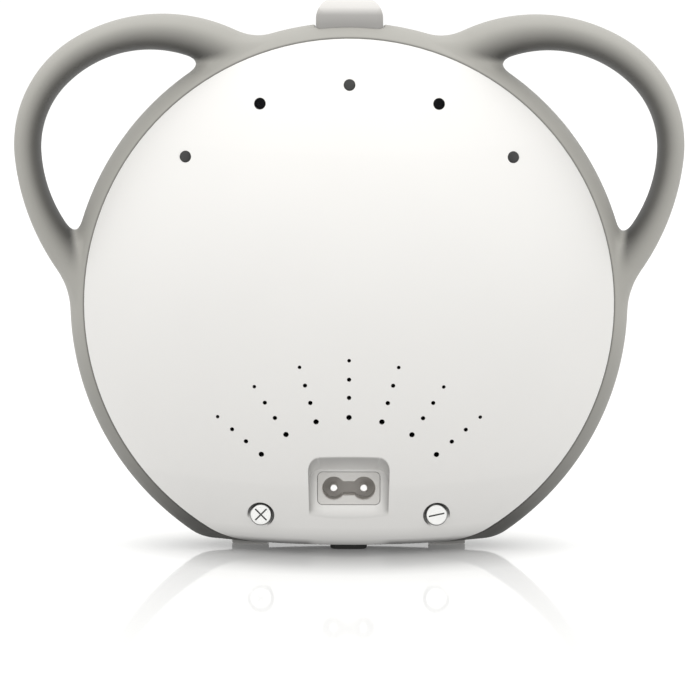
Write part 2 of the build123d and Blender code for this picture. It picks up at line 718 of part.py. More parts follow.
def power_board():
    board = block(-37, 37, 15.5, 17.1, up(10), up(46))
    for x in (-31.0, 31.0):
        for h in (12.0, 44.0):
            board -= rod_y(1.2, 10, 20, x, up(h))
    board += block(18, 30, 17.1, 24.0, up(30), up(40))
    return board + block(-10, -2, 17.1, 22.0, up(34), up(42))


def transformer():
    """Potted transformer of the power supply."""
    core = block(-29, -7, 17.1, 33.1, up(13), up(31))
    return fillet(core.edges().filter_by(Axis.Y), 1.5)


def capacitors():
    cans = []
    for x, h in ((4.0, 20.0), (17.5, 20.0)):
        can = rod_y(5.6, 17.1, 35.0, x, up(h))
        cans.append(fillet(can.edges().sort_by(Axis.Y)[-1], 0.6))
    return group(cans)


# ---- Motor --------------------------------------------------------------------------------------

def motor_can():
    can = rod_x(MOTOR_R, MOTOR_X0, MOTOR_X1, MOTOR_Y, up(MOTOR_Z))
    can -= rod_x(MOTOR_R - 1.6, MOTOR_X0 + 2.0, MOTOR_X1 - 2.0, MOTOR_Y, up(MOTOR_Z))
    return can - rod_x(4.0, MOTOR_X0 - 1, MOTOR_X1 + 1, MOTOR_Y, up(MOTOR_Z))


def motor_magnets():
    ring = rod_x(MOTOR_R - 1.6, MOTOR_X0 + 5, MOTOR_X1 - 5, MOTOR_Y, up(MOTOR_Z))
    ring -= rod_x(11.0, MOTOR_X0, MOTOR_X1, MOTOR_Y, up(MOTOR_Z))
    gap = block(MOTOR_X0, MOTOR_X1, -30, 20, up(MOTOR_Z - 3), up(MOTOR_Z + 3))
    return group([ring - gap])


def motor_bearings():
    bearings = []
    for x0 in (MOTOR_X0, MOTOR_X1 - 2.0):
        outer = rod_x(4.0, x0, x0 + 2.0, MOTOR_Y, up(MOTOR_Z))
        hole = rod_x(MOTOR_SHAFT_R + 0.02, x0 - 1, x0 + 3.0, MOTOR_Y, up(MOTOR_Z))
        bearings.append(outer - hole)
    return group(bearings)


def motor_shaft():
    return rod_x(MOTOR_SHAFT_R, -31.0, 38.0, MOTOR_Y, up(MOTOR_Z))


def motor_rotor():
    """Wound armature: laminated stack with pole slots, and the commutator."""
    rotor = rod_x(10.4, -5.0, 21.0, MOTOR_Y, up(MOTOR_Z))
    for i in range(5):
        angle = radians(i * 72 + 36)
        y = MOTOR_Y + 8.4 * cos(angle)
        z = up(MOTOR_Z) + 8.4 * sin(angle)
        rotor -= rod_x(1.9, -6.0, 22.0, y, z)
    rotor += rod_x(3.6, -8.0, -5.0, MOTOR_Y, up(MOTOR_Z))
    return rotor - rod_x(MOTOR_SHAFT_R, -10, 25, MOTOR_Y, up(MOTOR_Z))


def cooling_fan():
    centre = Pos(34.0, MOTOR_Y, up(MOTOR_Z))
    fan = centre * Rot(0, 90, 0) * Cylinder(4.0, 6.0)
    for i in range(7):
        fan += centre * Rot(i * 360 / 7, 0, 0) * Pos(0, 0, 7.5) * Rot(0, 0, 35) * Box(5.0, 1.2, 8.0)
    return fan - rod_x(MOTOR_SHAFT_R, 25, 45, MOTOR_Y, up(MOTOR_Z))


def motor_saddle():
    """Rubber saddle that isolates the motor from the chassis."""
    saddle = block(-6, 22, 0, CHASSIS_FRONT_Y, up(MOTOR_Z - 10), up(MOTOR_Z + 10))
    return saddle - rod_x(MOTOR_R, -20, 40, MOTOR_Y, up(MOTOR_Z))


def motor_strap():
    """Steel strap round the front of the motor, with feet on the chassis."""
    ring = rod_x(MOTOR_R + 0.8, 4, 12, MOTOR_Y, up(MOTOR_Z)) - rod_x(MOTOR_R, 3, 13, MOTOR_Y, up(MOTOR_Z))
    strap = ring & block(0, 20, -40, MOTOR_Y, up(-60), up(20))
    for s in (-1, 1):
        near, far = sorted((s * MOTOR_R, s * (MOTOR_R + 0.8)))
        strap += block(4, 12, MOTOR_Y, CHASSIS_FRONT_Y, up(MOTOR_Z + near), up(MOTOR_Z + far))
        near, far = sorted((s * MOTOR_R, s * (MOTOR_R + 7.0)))
        strap += block(4, 12, CHASSIS_FRONT_Y - 0.8, CHASSIS_FRONT_Y,
                       up(MOTOR_Z + near), up(MOTOR_Z + far))
    return strap


def motor_wires():
    wires = []
    for s in (-1, 1):
        route = FilletPolyline(
            (MOTOR_X1, MOTOR_Y + 12.6 + s * 1.0, up(MOTOR_Z)),
            (MOTOR_X1 + 1.6, MOTOR_Y + 12.6 + s * 1.0, up(MOTOR_Z)),
            (MOTOR_X1 + 1.6, MOTOR_Y + 12.6 + s * 1.0, up(6)),
            (24.0 + s * 1.4, MOTOR_Y + 14.0, up(9)),
            (24.0 + s * 1.4, 14.4, up(13)),
            radius=0.8,
        )
        wires.append(sweep(Plane(route @ 0, z_dir=route % 0) * Circle(0.7), route))
    return wires


# ---- Diaphragm pump -----------------------------------------------------------------------------

def bolt_places():
    return [(PUMP_X + sx * 8.0, MOTOR_Y + sy * 11.0) for sx in (-1, 1) for sy in (-1, 1)]


def head_bolts():
    """Long bolts at the pump's corners, through the head and valve plate into the crankcase."""
    bolts = []
    for x, y in bolt_places():
        bolt = rod_z(BOLT_R, PUMP_TOP_Z - 10.0, PUMP_TOP_Z + 19.0, x, y)
        bolts.append(bolt + rod_z(1.7, PUMP_TOP_Z + 19.0, PUMP_TOP_Z + 20.5, x, y))
    return group(bolts)


def drilled(piece):
    """A piece of the pump with its bolt holes."""
    for x, y in bolt_places():
        piece -= rod_z(BOLT_R + 0.03, PUMP_TOP_Z - 10.0, PUMP_TOP_Z + 25.0, x, y)
    return piece


def eccentric():
    """Crank on the motor shaft, offset by half the pump's stroke."""
    pin = rod_x(3.4, PUMP_X - 5, PUMP_X + 5, MOTOR_Y + ECCENTRICITY, up(MOTOR_Z))
    pin += rod_x(5.0, PUMP_X + 5, PUMP_X + 7, MOTOR_Y + ECCENTRICITY, up(MOTOR_Z))
    return pin - rod_x(MOTOR_SHAFT_R, -40, 40, MOTOR_Y, up(MOTOR_Z))


def eccentric_bearing():
    ring = rod_x(BEARING_R, PUMP_X - 4, PUMP_X + 4, MOTOR_Y + ECCENTRICITY, up(MOTOR_Z))
    return ring - rod_x(3.4, -40, 40, MOTOR_Y + ECCENTRICITY, up(MOTOR_Z))


def pump_housing():
    """Crankcase, open at the top under the diaphragm."""
    z = up(MOTOR_Z)
    x0, x1 = PUMP_X - PUMP_HALF_X, PUMP_X + PUMP_HALF_X
    y0, y1 = MOTOR_Y - PUMP_HALF_Y, MOTOR_Y + PUMP_HALF_Y
    case = block(x0, x1, y0, y1, z - 13.0, PUMP_TOP_Z)
    case = fillet(case.edges().filter_by(Axis.Z), 2.0)
    case -= block(x0 + 1.8, x1 - 1.8, y0 + 1.8, y1 - 1.8, z - 11.2, PUMP_TOP_Z - 2.0)
    case -= rod_z(7.4, PUMP_TOP_Z - 3.0, PUMP_TOP_Z + 1.0, PUMP_X, MOTOR_Y)
    for x, y in bolt_places():
        case += rod_z(1.9, z - 12.0, PUMP_TOP_Z, x, y)
    return drilled(case - rod_x(3.0, PUMP_X, PUMP_X + 20, MOTOR_Y, z))


def yoke():
    """Yoke that the eccentric works up and down, with the diaphragm's clamp."""
    z = up(MOTOR_Z)
    slot_z = BEARING_R + ECCENTRICITY + YOKE_TRAVEL + 0.3
    slot_y = BEARING_R + ECCENTRICITY + 0.5
    frame = block(PUMP_X - 3.5, PUMP_X + 3.5, MOTOR_Y - slot_y - 2, MOTOR_Y + slot_y + 2,
                  z - slot_z - 2, z + slot_z + 2)
    frame = fillet(frame.edges().filter_by(Axis.X), 2.0)
    frame -= block(PUMP_X - 5, PUMP_X + 5, MOTOR_Y - slot_y, MOTOR_Y + slot_y, z - slot_z, z + slot_z)
    frame += rod_z(2.2, z + slot_z + 1, PUMP_TOP_Z + 1.6, PUMP_X, MOTOR_Y)
    frame += rod_z(4.6, PUMP_TOP_Z - 1.6, PUMP_TOP_Z, PUMP_X, MOTOR_Y)
    return frame + rod_z(4.6, PUMP_TOP_Z + 1.0, PUMP_TOP_Z + 2.0, PUMP_X, MOTOR_Y)


def diaphragm():
    """Flexible disc, clamped at its rim and at the yoke, with a rolled fold between."""
    z0, z1 = PUMP_TOP_Z, PUMP_TOP_Z + 1.0
    profile = make_face(Polyline(
        (2.2, z0), (5.2, z0), (6.2, z0 - 0.8), (7.2, z0), (9.2, z0), (9.2, z1),
        (7.0, z1), (6.2, z1 - 0.8), (5.4, z1), (2.2, z1), close=True))
    ring = revolve(Plane.XZ * profile, Axis.Z, 360)
    return Pos(PUMP_X, MOTOR_Y, 0) * ring


def valve_plate():
    z0 = PUMP_TOP_Z
    plate = block(PUMP_X - 10, PUMP_X + 10, MOTOR_Y - 13, MOTOR_Y + 13, z0, z0 + 5.0)
    plate = fillet(plate.edges().filter_by(Axis.Z), 2.0)
    plate -= rod_z(9.2, z0 - 1, z0 + 1.0, PUMP_X, MOTOR_Y)
    plate -= rod_z(7.4, z0, z0 + 3.2, PUMP_X, MOTOR_Y)
    for s in (-1, 1):
        plate -= rod_z(1.2, z0 + 2, z0 + 6, PUMP_X, MOTOR_Y + s * 4.5)
    return drilled(plate)


def valve_flaps():
    """Thin rubber flaps over the two ports."""
    flaps = []
    for s in (-1, 1):
        flaps.append(rod_z(2.6, PUMP_TOP_Z + 5.0, PUMP_TOP_Z + 5.6, PUMP_X, MOTOR_Y + s * 4.5))
    return group(flaps)


def pump_head():
    z0 = PUMP_TOP_Z + 5.0
    head = block(PUMP_X - 10, PUMP_X + 10, MOTOR_Y - 13, MOTOR_Y + 13, z0, z0 + 14.0)
    head = fillet(head.edges().filter_by(Axis.Z), 2.0)
    for s in (-1, 1):
        head -= block(PUMP_X - 6, PUMP_X + 6, MOTOR_Y + s * 4.5 - 3.6, MOTOR_Y + s * 4.5 + 3.6,
                      z0 - 1, z0 + 11.0)
    head += rod_z(TUBE_BORE, z0 + 14.0, z0 + 22.0, PUMP_X, MOTOR_Y - 4.5)
    head -= rod_z(1.2, z0 + 10.0, z0 + 23.0, PUMP_X, MOTOR_Y - 4.5)
    head += rod_y(TUBE_BORE, MOTOR_Y + 13, MOTOR_Y + 20, PUMP_X, z0 + 9.0)
    return drilled(head - rod_y(1.2, MOTOR_Y + 6, MOTOR_Y + 21, PUMP_X, z0 + 9.0))


# ---- Air path -----------------------------------------------------------------------------------

def hose(points, radius):
    """Silicone tube of constant bore along straight runs joined by arcs."""
    route = FilletPolyline(*points, radius=radius)
    start = Plane(route @ 0, z_dir=route % 0)
    return sweep(start * Circle(TUBE_R), route) - sweep(start * Circle(TUBE_BORE), route)


def silicone_tubes():
    """Spigot to filter, filter to tee, tee to pump, tee to bleed valve, and pump to muffler."""
    low = up(SPIGOT_Z)
    filter_foot = up(0.5)
    inlet_y = MOTOR_Y - 4.5
    return group([
        hose([(0, -13.5, low), (0, -4, low), (48, -4, low), (48, -4, filter_foot - 9),
              (FILTER_X, MOTOR_Y, filter_foot - 9), (FILTER_X, MOTOR_Y, filter_foot - 1)], 4.0),
        hose([(FILTER_X, MOTOR_Y, up(27.5)), (FILTER_X, MOTOR_Y, TUBE_LEVEL),
              (14, -16, TUBE_LEVEL), (4.5, -16, TUBE_LEVEL)], 4.0),
        hose([(-4.5, -16, TUBE_LEVEL), (-12, -16, TUBE_LEVEL), (PUMP_X, inlet_y, TUBE_LEVEL),
              (PUMP_X, inlet_y, PUMP_TOP_Z + 20.0)], 3.6),
        rod_z(TUBE_R, up(11.5), TUBE_LEVEL - 4.5, 0, -16) - rod_z(TUBE_BORE, 0, BIG, 0, -16),
        hose([(PUMP_X, MOTOR_Y + 14.0, PUMP_TOP_Z + 14.0), (PUMP_X, 24.0, PUMP_TOP_Z + 14.0),
              (PUMP_X, 24.0, up(-18)), (-14.4, 24.0, up(-18))], 4.0),
    ])


def tee_connector():
    """Tee that joins the suction line and the bleed valve's line."""
    tee = rod_x(TUBE_BORE, -10, 10, -16, TUBE_LEVEL) + rod_z(TUBE_BORE, TUBE_LEVEL - 10, TUBE_LEVEL, 0, -16)
    tee += rod_x(TUBE_R, -4.5, 4.5, -16, TUBE_LEVEL)
    tee += rod_z(TUBE_R, TUBE_LEVEL - 4.5, TUBE_LEVEL, 0, -16)
    return tee - rod_x(1.2, -11, 11, -16, TUBE_LEVEL) - rod_z(1.2, TUBE_LEVEL - 11, TUBE_LEVEL, 0, -16)


def filter_housing():
    """Clear two-part style canister in the suction line."""
    can = rod_z(FILTER_R, up(3), up(24), FILTER_X, MOTOR_Y)
    can = fillet(can.edges().filter_by(GeomType.CIRCLE), 2.0)
    can -= rod_z(FILTER_R - 1.4, up(4.6), up(22.4), FILTER_X, MOTOR_Y)
    can += rod_z(TUBE_BORE, up(-5), up(3.5), FILTER_X, MOTOR_Y)
    can += rod_z(TUBE_BORE, up(23.5), up(32), FILTER_X, MOTOR_Y)
    return can - rod_z(1.2, up(-6), up(33), FILTER_X, MOTOR_Y)


def filter_disc():
    """Pleated hydrophobic filter element."""
    return rod_z(FILTER_R - 1.5, up(10), up(16), FILTER_X, MOTOR_Y)


def exhaust_muffler():
    """Box behind the vents that quietens the pump's exhaust."""
    box = block(-14, 14, 14, 34, up(-26), up(-10))
    box = fillet(box.edges().filter_by(Axis.Y), 2.0)
    box -= block(-12.4, 12.4, 15.6, 35, up(-24.4), up(-11.6))
    box += rod_x(TUBE_BORE, -20, -13, 24, up(-18))
    return box - rod_x(1.2, -21, -12, 24, up(-18))


def muffler_foam():
    return block(-12.3, 12.3, 15.7, 33.5, up(-24.3), up(-11.7))


# ---- Write one file per sub-part ----------------------------------------------------------------

PARTS = {
    "rear_shell": rear_shell,
    "ear_frame": ear_frame,
    "front_shell": front_shell,
    "rear_seam_gasket": lambda: seam_gasket(1),
    "front_seam_gasket": lambda: seam_gasket(-1),
    "rubber_feet": rubber_feet,
    "hole_plugs": hole_plugs,
    "well_screws": well_screws,
    "cross_screw": cross_screw,
    "slot_screw": slot_screw,
    "inlet_housing": inlet_housing,
    "inlet_liner": inlet_liner,
    "inlet_pins": inlet_pins,
    "internal_wires": internal_wires,
    "power_button": power_button,
    "switch_plunger": switch_plunger,
    "button_spring": button_spring,
    "power_switch": power_switch,
    "level_dots": level_dots,
    "dial_bezel": dial_bezel,
    "dial_grip": dial_grip,
    "dial_cap": dial_cap,
    "dial_pointer": dial_pointer,
    "dial_shaft": dial_shaft,
    "dial_bush": dial_bush,
    "bleed_valve_body": bleed_valve_body,
    "bleed_valve_rotor": bleed_valve_rotor,
    "valve_screws": valve_screws,
    "light_pipe": light_pipe,
    "light_board": light_board,
    "hose_spigot": hose_spigot,
    "spigot_seal": spigot_seal,
    "spigot_nut": spigot_nut,
    "chassis": chassis,
    "power_board": power_board,
    "transformer": transformer,
    "capacitors": capacitors,
    "motor_can": motor_can,
    "motor_magnets": motor_magnets,
    "motor_bearings": motor_bearings,
    "motor_shaft": motor_shaft,
    "motor_rotor": motor_rotor,
    "cooling_fan": cooling_fan,
    "motor_saddle": motor_saddle,
    "motor_strap": motor_strap,
    "eccentric": eccentric,
    "eccentric_bearing": eccentric_bearing,
    "pump_housing": pump_housing,
    "yoke": yoke,
    "diaphragm": diaphragm,
    "valve_plate": valve_plate,
    "valve_flaps": valve_flaps,
    "pump_head": pump_head,
    "head_bolts": head_bolts,
    "silicone_tubes": silicone_tubes,
    "tee_connector": tee_connector,
    "filter_housing": filter_housing,
    "filter_disc": filter_disc,
    "exhaust_muffler": exhaust_muffler,
    "muffler_foam": muffler_foam,
}

os.makedirs("parts", exist_ok=True)
for name, make in PARTS.items():
    export_step(make(), f"parts/{name}.step")
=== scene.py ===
import bpy
import bmesh
import json
import math
import numpy as np
from mathutils import Matrix, Vector


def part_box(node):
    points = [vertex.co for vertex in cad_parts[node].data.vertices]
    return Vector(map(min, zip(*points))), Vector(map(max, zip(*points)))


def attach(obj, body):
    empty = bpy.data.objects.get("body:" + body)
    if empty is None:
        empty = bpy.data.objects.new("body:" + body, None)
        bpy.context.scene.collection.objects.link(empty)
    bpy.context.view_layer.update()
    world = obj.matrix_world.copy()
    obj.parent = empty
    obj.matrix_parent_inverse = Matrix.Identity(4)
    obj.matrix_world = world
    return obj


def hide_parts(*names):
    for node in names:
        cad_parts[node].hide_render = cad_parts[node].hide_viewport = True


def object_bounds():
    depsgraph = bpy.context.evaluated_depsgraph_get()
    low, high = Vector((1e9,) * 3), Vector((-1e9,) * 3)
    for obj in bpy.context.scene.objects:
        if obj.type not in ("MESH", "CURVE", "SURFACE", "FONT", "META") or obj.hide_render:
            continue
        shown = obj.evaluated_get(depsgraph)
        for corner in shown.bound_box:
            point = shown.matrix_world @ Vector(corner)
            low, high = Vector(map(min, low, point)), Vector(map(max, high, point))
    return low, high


# Looks of the nasal aspirator's main unit. Metres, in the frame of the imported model: origin on the
# floor under the middle, +Z up, suction dial towards -Y, mains inlet towards +Y.

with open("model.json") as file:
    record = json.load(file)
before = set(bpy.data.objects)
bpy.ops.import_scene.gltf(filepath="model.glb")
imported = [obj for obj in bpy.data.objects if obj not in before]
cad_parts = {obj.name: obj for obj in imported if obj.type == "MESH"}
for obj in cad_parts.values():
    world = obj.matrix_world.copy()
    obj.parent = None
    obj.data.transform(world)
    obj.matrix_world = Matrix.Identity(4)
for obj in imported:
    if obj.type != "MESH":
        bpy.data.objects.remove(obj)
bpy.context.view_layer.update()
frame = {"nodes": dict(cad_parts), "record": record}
nodes = frame["nodes"]

MM = 0.001


# ---- Shader graph helpers -----------------------------------------------------------------------

class Graph:
    """A material's node tree, with short calls for the nodes that the finishes here need."""

    def __init__(self, name):
        self.material = bpy.data.materials.new(name)
        self.material.use_nodes = True
        self.tree = self.material.node_tree
        self.shader = self.tree.nodes["Principled BSDF"]
        self.place = self.tree.nodes.new("ShaderNodeTexCoord").outputs["Object"]

    def node(self, kind, inputs=(), **settings):
        made = self.tree.nodes.new(kind)
        for key, value in settings.items():
            setattr(made, key, value)
        for key, value in dict(inputs).items():
            if isinstance(value, bpy.types.NodeSocket):
                self.tree.links.new(value, made.inputs[key])
            else:
                made.inputs[key].default_value = value
        return made

    def noise(self, size, detail=2.0, roughness=0.5, stretch=None):
        """Noise whose features are about `size` metres across."""
        place = self.place
        if stretch:
            place = self.node("ShaderNodeMapping", {"Vector": place, "Scale": stretch}).outputs[0]
        made = self.node("ShaderNodeTexNoise", {
            "Vector": place, "Scale": 1 / size, "Detail": detail, "Roughness": roughness})
        return made.outputs["Fac"]

    def spread(self, value, low, high):
        """A 0 to 1 value spread between two numbers."""
        made = self.node("ShaderNodeMapRange", {"Value": value, "To Min": low, "To Max": high})
        return made.outputs["Result"]

    def between(self, value, colour_a, colour_b, start=0.3, end=0.7):
        made = self.node("ShaderNodeValToRGB", {"Fac": value})
        ends = made.color_ramp.elements
        ends[0].position, ends[1].position = start, end
        ends[0].color, ends[1].color = (*colour_a, 1), (*colour_b, 1)
        return made.outputs["Color"]

    def steps(self, value, stops):
        """A value carried through (value, result) stops, straight between them."""
        first, last = stops[0][0], stops[-1][0]
        share = self.node("ShaderNodeMapRange", {
            "Value": value, "From Min": first, "From Max": last})
        made = self.node("ShaderNodeValToRGB", {"Fac": share.outputs["Result"]})
        for i, (at, result) in enumerate(stops):
            place = (at - first) / (last - first)
            stop = made.color_ramp.elements[i] if i < 2 else made.color_ramp.elements.new(place)
            stop.position = place
            stop.color = (result, result, result, 1)
        return made.outputs["Color"]

    def axis(self, letter):
        return self.node("ShaderNodeSeparateXYZ", {"Vector": self.place}).outputs[letter]

    def reading(self, name):
        """A value stored on the mesh's points."""
        return self.node("ShaderNodeAttribute", attribute_name=name).outputs["Fac"]

    def dim(self, colour, factor):
        """A colour scaled by a value."""
        made = self.node("ShaderNodeVectorMath", {"Vector": colour, "Scale": factor},
                         operation="SCALE")
        return made.outputs["Vector"]

    def bump(self, height, depth, under=None):
        inputs = {"Height": height, "Distance": depth, "Strength": 1.0}
        if under:
            inputs["Normal"] = under
        return self.node("ShaderNodeBump", inputs).outputs["Normal"]

    def finish(self, colour, roughness, normal=None, **constants):
        self.tree.links.new(colour, self.shader.inputs["Base Color"])
        self.tree.links.new(roughness, self.shader.inputs["Roughness"])
        if normal:
            self.tree.links.new(normal, self.shader.inputs["Normal"])
        for key, value in constants.items():
            self.shader.inputs[key.replace("_", " ")].default_value = value
        return self.material


def shade(colour, factor):
    return tuple(c * factor for c in colour)


def moulded(name, colour, rough=(0.3, 0.4), grain=0.35 * MM, depth=0.004 * MM, mottle=0.03,
            painted_light=None, **constants):
    """Moulded plastic or rubber: a fine spark-eroded grain, slow flow marks and slight mottling."""
    g = Graph(name)
    flow = g.noise(28 * MM, 3.0)
    tint = g.between(flow, shade(colour, 1 - mottle), shade(colour, 1 + mottle))
    # painted_light scales the colour by painted light and shade
    if painted_light:
        tint = g.dim(tint, painted_light(g))
    polish = g.spread(g.noise(9 * MM, 4.0, 0.6), *rough)
    waves = g.bump(g.noise(14 * MM, 2.0), depth * 6)
    texture = g.bump(g.noise(grain, 3.0, 0.65), depth, waves)
    return g.finish(tint, polish, texture, **constants)


def metal(name, colour, rough=(0.2, 0.35), depth=0.003 * MM, painted_light=None):
    """Turned metal: brushed streaks, tarnish in patches."""
    g = Graph(name)
    tint = g.between(g.noise(3 * MM, 4.0, 0.6), shade(colour, 0.95), colour)
    # painted_light scales the colour by painted light and shade
    if painted_light:
        tint = g.dim(tint, painted_light(g))
    polish = g.spread(g.noise(0.9 * MM, 4.0, 0.7, (1, 1, 6)), *rough)
    lines = g.bump(g.noise(0.25 * MM, 2.0, 0.6, (1, 1, 8)), depth)
    return g.finish(tint, polish, lines, Metallic=1.0)


def along(letter, *stops):
    """Tint stops along one of the model's axes: (millimetres, tint)."""
    return lambda g: g.steps(g.axis(letter), [(at * MM, tint) for at, tint in stops])


SHELL_WHITE = (0.90, 0.888, 0.868)

# Painted shade and light by place on the object, each a row of (millimetres, tint) stops.
SHELL_FOOT_SHADE = ((2.0, 0.55), (4.5, 0.82), (8.5, 1.0))                                # by height
SUNK_SIDE_SHADE = ((7.0, 1.0), (9.5, 0.93), (11.2, 0.66), (11.6, 0.55), (12.5, 0.45))   # from the middle
SUNK_TOP_SHADE = ((9.0, 0.93), (14.0, 1.0), (22.0, 1.0), (25.5, 0.9), (29.5, 0.62))     # by height
BUTTON_SHADE = ((152.5, 0.46), (155.0, 0.56), (157.2, 0.97), (160.3, 0.9))          # by height
SCREW_SHADE = ((-0.5, 0.1), (-0.12, 0.5), (-0.05, 1.0))                             # from the face
FEET_PAINTED_LIGHT = ((-12.1, 1.0), (-12.0, 0.075), (12.0, 0.075), (12.1, 1.0))             # from the middle

MATERIALS = {
    # The white shells are painted darker towards their foot, as painted shade.
    "white_shell": moulded("white_shell", SHELL_WHITE, (0.34, 0.42), mottle=0.006,
                           painted_light=along("Z", *SHELL_FOOT_SHADE)),
    # The band's colour is scaled by the painted shade stored on its points.
    "warm_grey_band": moulded("warm_grey_band", (0.428, 0.418, 0.386), (0.5, 0.6), mottle=0.02,
                              painted_light=lambda g: g.reading("painted_light")),
    "button_white": moulded("button_white", (0.74, 0.735, 0.72), (0.38, 0.46), mottle=0.01),
    "seam_grey": moulded("seam_grey", (0.10, 0.097, 0.09), (0.6, 0.7)),
    "foot_rubber": moulded("foot_rubber", (0.022, 0.021, 0.02), (0.6, 0.75), depth=0.01 * MM),
    "plug_grey": moulded("plug_grey", (0.055, 0.055, 0.055), (0.6, 0.7)),
    "screw_steel": metal("screw_steel", (0.82, 0.82, 0.81)),
    "inlet_plastic": moulded("inlet_plastic", (0.74, 0.725, 0.70), (0.32, 0.42), mottle=0.01),
    "liner_grey": moulded("liner_grey", (0.66, 0.635, 0.605), (0.5, 0.6)),
    "contact_metal": metal("contact_metal", (0.92, 0.91, 0.9), (0.18, 0.3)),
    "wire_insulation": moulded("wire_insulation", (0.05, 0.05, 0.055), (0.4, 0.5)),
    "dial_grey": moulded("dial_grey", (0.36, 0.35, 0.32), (0.5, 0.62), depth=0.008 * MM),
    "dial_grey_hard": moulded("dial_grey_hard", (0.42, 0.405, 0.37), (0.35, 0.45)),
    "mark_grey": moulded("mark_grey", (0.34, 0.33, 0.30), (0.4, 0.5)),
    "pointer_grey": moulded("pointer_grey", (0.34, 0.33, 0.31), (0.35, 0.45)),
    "acetal": moulded("acetal", (0.78, 0.77, 0.74), (0.3, 0.4)),
    "dark_acetal": moulded("dark_acetal", (0.06, 0.06, 0.062), (0.35, 0.45)),
    "clear_plastic": moulded("clear_plastic", (0.85, 0.87, 0.86), (0.08, 0.14), mottle=0.01,
                             Transmission_Weight=0.6),
    "circuit_board": moulded("circuit_board", (0.02, 0.10, 0.045), (0.35, 0.5)),
    "component_black": moulded("component_black", (0.03, 0.03, 0.032), (0.35, 0.45)),
    "steel": metal("steel", (0.56, 0.56, 0.55)),
    "magnet": metal("magnet", (0.16, 0.16, 0.17), (0.5, 0.6)),
    "silicone": moulded("silicone", (0.55, 0.54, 0.5), (0.4, 0.5), Subsurface_Weight=0.1),
    "brass": metal("brass", (0.75, 0.56, 0.24)),
    "foam": moulded("foam", (0.09, 0.09, 0.095), (0.85, 0.95), grain=1.2 * MM, depth=0.3 * MM),
}


def set_material(piece, material):
    piece.data.materials.clear()
    piece.data.materials.append(material)


for part in frame["record"]["subparts"]:
    node = nodes[part["node"]]
    for slot in node.material_slots:
        slot.material = MATERIALS[part["material_slot"]]

SCREW_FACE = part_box("cross_screw")[1].y / MM
OWN_FINISH_AND_SHADE = {
    # The well screws are made near-black as painted shade, standing in for the shade deep in the wells.
    "well_screws": metal("well_screw_painted_shade", (0.03, 0.03, 0.032), (0.4, 0.5)),
    # The button cap carries painted shade, darker towards its foot in the slot.
    "power_button": moulded("button_cap", (0.83, 0.81, 0.785), (0.38, 0.46), mottle=0.01,
                            painted_light=along("Z", *BUTTON_SHADE)),
}
# Painted shade on the disc screws: darker in their slots and down the sides below their faces.
for name in ("cross_screw", "slot_screw"):
    OWN_FINISH_AND_SHADE[name] = metal(name + "_face", (0.84, 0.84, 0.83), (0.25, 0.35), painted_light=along(
        "Y", *((SCREW_FACE + below, tint) for below, tint in SCREW_SHADE)))
for name, material in OWN_FINISH_AND_SHADE.items():
    for slot in nodes[name].material_slots:
        slot.material = material


# ---- Main dimensions ----------------------------------------------------------------------------
# Worked in millimetres from the body's axis: x, y and h, the height above the axis.

CREST_R = 81.5             # band's crest
SHELL_R = 77.0             # where the white shells meet the band
REAR_APEX = 50.0
FRONT_APEX = -40.5
SEAM_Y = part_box("ear_frame")[1].y / MM
BASE_H = (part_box("ear_frame")[0].z - (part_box("dial_cap")[0].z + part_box("dial_cap")[1].z) / 2) / MM
AXIS_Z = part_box("ear_frame")[0].z - BASE_H * MM


def arc_radius(half_chord, rise):
    return (half_chord ** 2 + rise ** 2) / (2 * rise)


REAR_R = arc_radius(SHELL_R, REAR_APEX - SEAM_Y)
FRONT_R = arc_radius(SHELL_R, -SEAM_Y - FRONT_APEX)


# ---- Shells with exact domes --------------------------------------------------------------------

# Which points lie sunk under the dome, for the rear shell's painted shade.
SUNK = ((1.0, 1.0), (0.2, 0.0))        # depth under the dome, and how sunk that counts as


def rear_painted_shade(g):
    """The rear shell's painted shade: darker at its foot, in the screw wells and along the inlet's
    walls, where shade falls.
    """
    ray = g.node("ShaderNodeVectorMath", {"Vector": g.place}, operation="SUBTRACT")
    ray.inputs[1].default_value = (0, (REAR_APEX - REAR_R) * MM, AXIS_Z)
    reach = g.node("ShaderNodeVectorMath", {"Vector": ray.outputs[0]}, operation="LENGTH")
    sunk = g.steps(reach.outputs["Value"], [((REAR_R - deep) * MM, share) for deep, share in SUNK])
    across = g.node("ShaderNodeMath", {0: g.axis("X")}, operation="ABSOLUTE").outputs[0]
    sides = g.steps(across, [(at * MM, tint) for at, tint in SUNK_SIDE_SHADE])
    tops = along("Z", *SUNK_TOP_SHADE)(g)
    dark = g.node("ShaderNodeMath", {0: sides, 1: tops}, operation="MULTIPLY").outputs[0]
    mixed = g.node("ShaderNodeMapRange", {"Value": sunk, "To Min": 1.0, "To Max": dark}).outputs[0]
    foot = along("Z", *SHELL_FOOT_SHADE)(g)
    return g.node("ShaderNodeMath", {0: mixed, 1: foot}, operation="MULTIPLY").outputs[0]


WELD = 0.01 * MM           # points nearer than this at a dome's apex are one
DOME_TOLERANCE = 0.03      # a corner this near the dome's radius lies on it
DOME_LEAN = 0.75           # and its normal leans from the dome's by no more than this cosine


